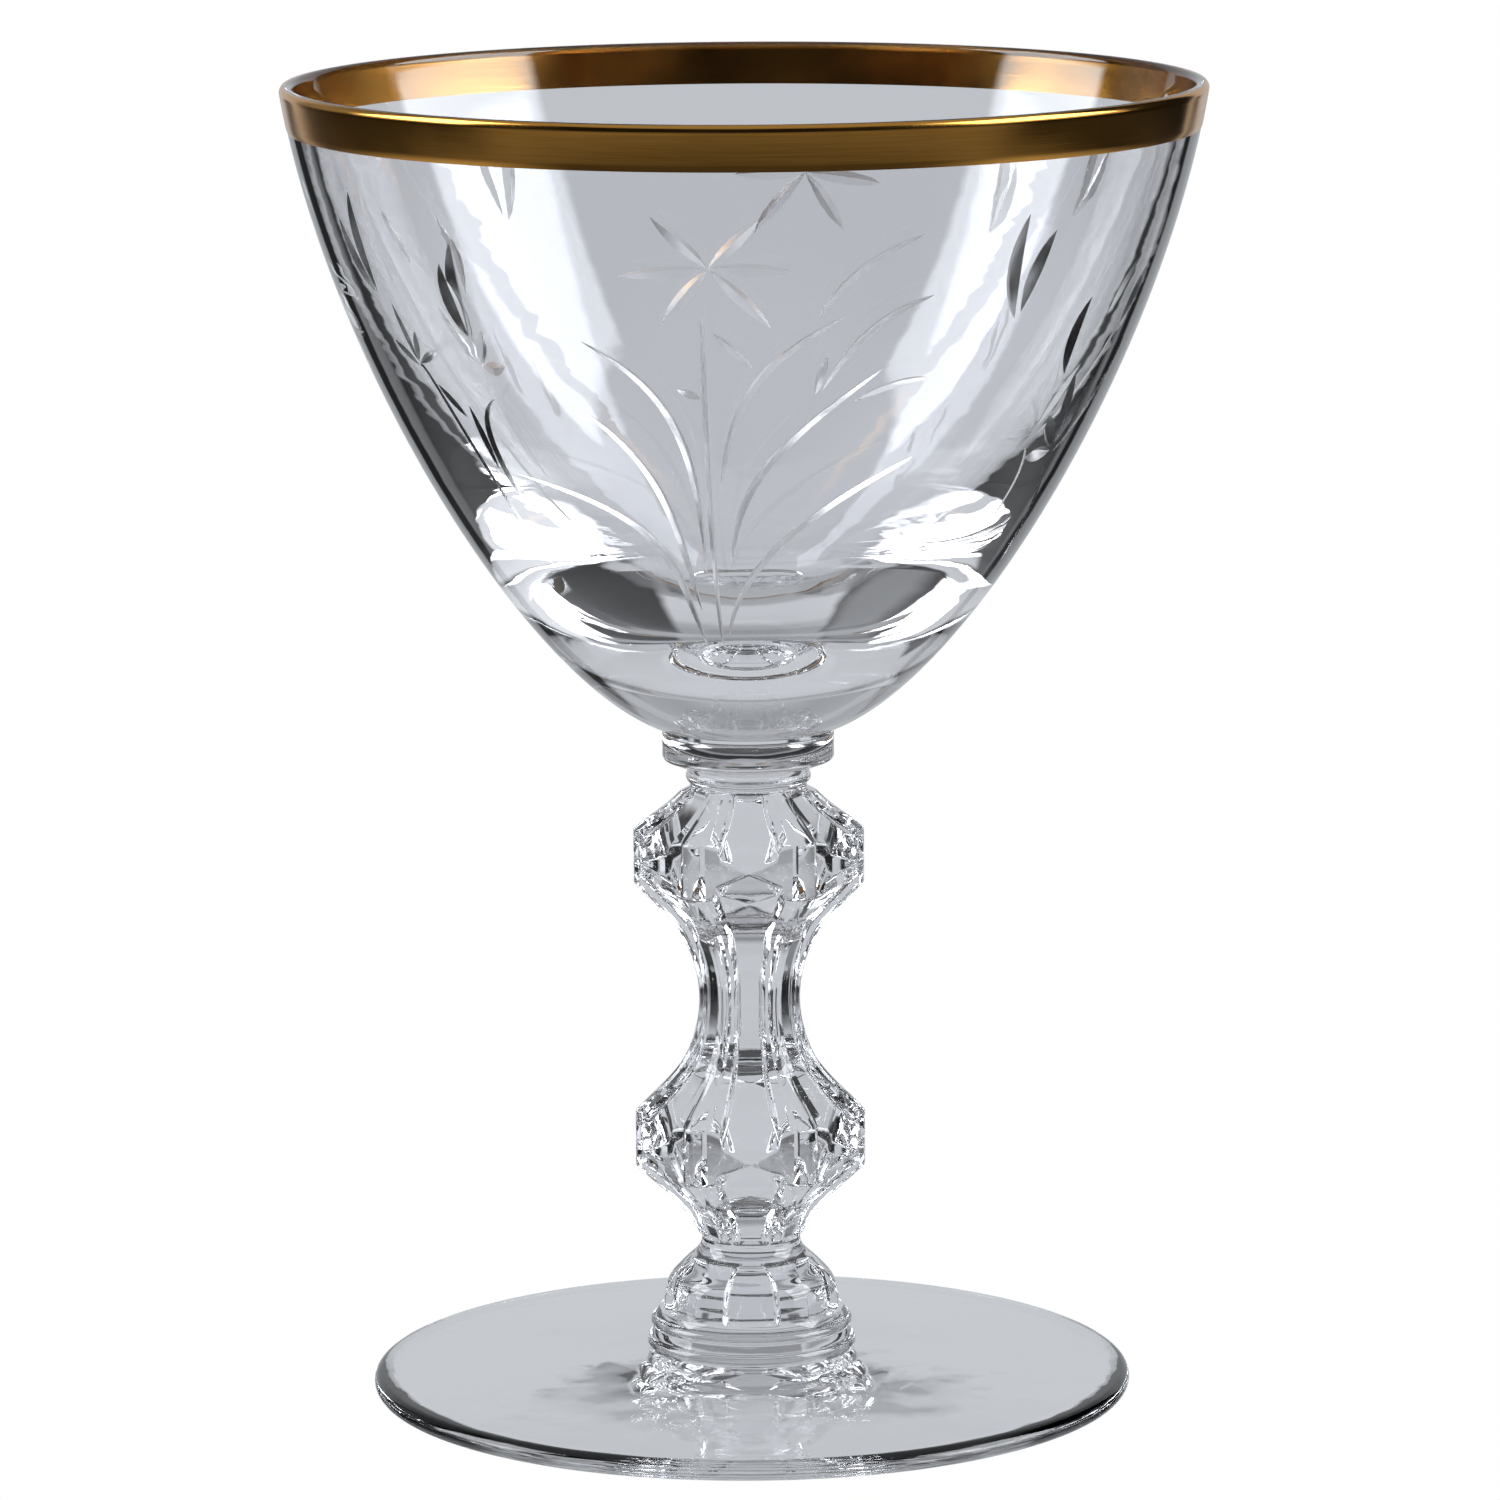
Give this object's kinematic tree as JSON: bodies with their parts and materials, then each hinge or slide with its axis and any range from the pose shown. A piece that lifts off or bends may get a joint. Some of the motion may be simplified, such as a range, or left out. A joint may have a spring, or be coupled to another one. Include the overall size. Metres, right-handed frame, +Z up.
{
  "type": "cocktail glass",
  "caption": "Stemmed cocktail glass of clear cut crystal: flared bowl with a gold rim band, fluted stem with faceted knops, ringed disc foot.",
  "frame": {"origin": "centre of the foot's underside, on the glass's axis, at the level of the surface it stands on", "axes": "+Z up through the stem to the rim; the picture is seen from -Y, so +X is to the right"},
  "size_m": [0.088, 0.088, 0.127],
  "materials": {
    "crystal": "clear fire-polished crystal, mitre-cut ornament on the bowl",
    "gold_film": "fired and burnished bright gold film, lightly worn"
  },
  "bodies": {
    "root": {"bowl": "crystal", "rim_band": "gold_film", "bowl_merese": "crystal", "stem": "crystal", "foot_merese": "crystal", "foot": "crystal"}
  },
  "joints": []
}
